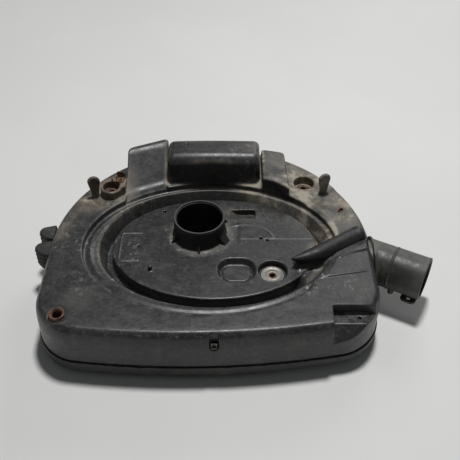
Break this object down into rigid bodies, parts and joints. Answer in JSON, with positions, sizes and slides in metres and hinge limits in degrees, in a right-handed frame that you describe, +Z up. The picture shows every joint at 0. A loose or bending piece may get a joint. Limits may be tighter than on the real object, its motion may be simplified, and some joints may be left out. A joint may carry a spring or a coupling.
{
  "type": "air filter housing",
  "caption": "D-shaped engine air filter housing, upside down on its cover, with throttle neck, angled inlet spigot, breather pipe and an oval pleated filter inside.",
  "frame": {"origin": "centre of the arched back's radius, on the plane the cover rests on", "axes": "+X towards the inlet spigot, +Y towards the arched back, +Z up through the throttle neck, away from the cover"},
  "size_m": [0.4403, 0.3145, 0.105],
  "materials": {
    "cover_plastic": "weathered black moulded plastic",
    "seal_rubber": "reddish-brown rubber",
    "zinc_steel": "dull zinc-plated",
    "black_nylon": "matte",
    "filter_paper": "pleated paper, dusty",
    "filter_frame_rubber": "soft moulded foam rubber",
    "screen_steel": "perforated sheet",
    "housing_plastic": "weathered grey-black plastic with dust and scuffs",
    "neck_plastic": "satin black plastic",
    "neck_lip": "worn pale grey rubber lip",
    "spigot_plastic": "dusty grey plastic",
    "black_rubber": "matte",
    "rusty_steel": "heavily rusted steel",
    "galvanised_steel": "pale galvanised, rust at its hole",
    "brass": "knurled insert"
  },
  "bodies": {
    "cover_group": {"cover": "cover_plastic", "cover_seal": "seal_rubber", "cover_screws": "zinc_steel", "screw_washers": "zinc_steel", "screw_retainers": "black_nylon", "filter_media": "filter_paper", "filter_upper_seal": "filter_frame_rubber", "filter_lower_seal": "filter_frame_rubber", "filter_screen": "screen_steel"},
    "housing_group": {"housing_shell": "housing_plastic", "throttle_neck": "neck_plastic", "throttle_seal": "neck_lip", "inlet_spigot": "spigot_plastic", "inlet_seal": "black_rubber", "breather_pipe": "neck_plastic", "breather_gauze": "screen_steel", "front_left_sleeve": "rusty_steel", "rear_left_sleeve": "rusty_steel", "rear_right_sleeve": "rusty_steel", "front_grommet": "black_rubber", "rear_grommets": "black_rubber", "plate_washer": "galvanised_steel", "plate_sleeve": "rusty_steel", "screw_inserts": "brass", "spring_nut": "zinc_steel", "rear_left_clip": "rusty_steel", "locating_pin": "rusty_steel", "side_buffers": "black_rubber"}
  },
  "joints": [
    {"name": "housing_lift", "type": "slide", "parent": "cover_group", "child": "housing_group", "axis": [0, 0, 1], "range_m": [0, 0.12]}
  ]
}
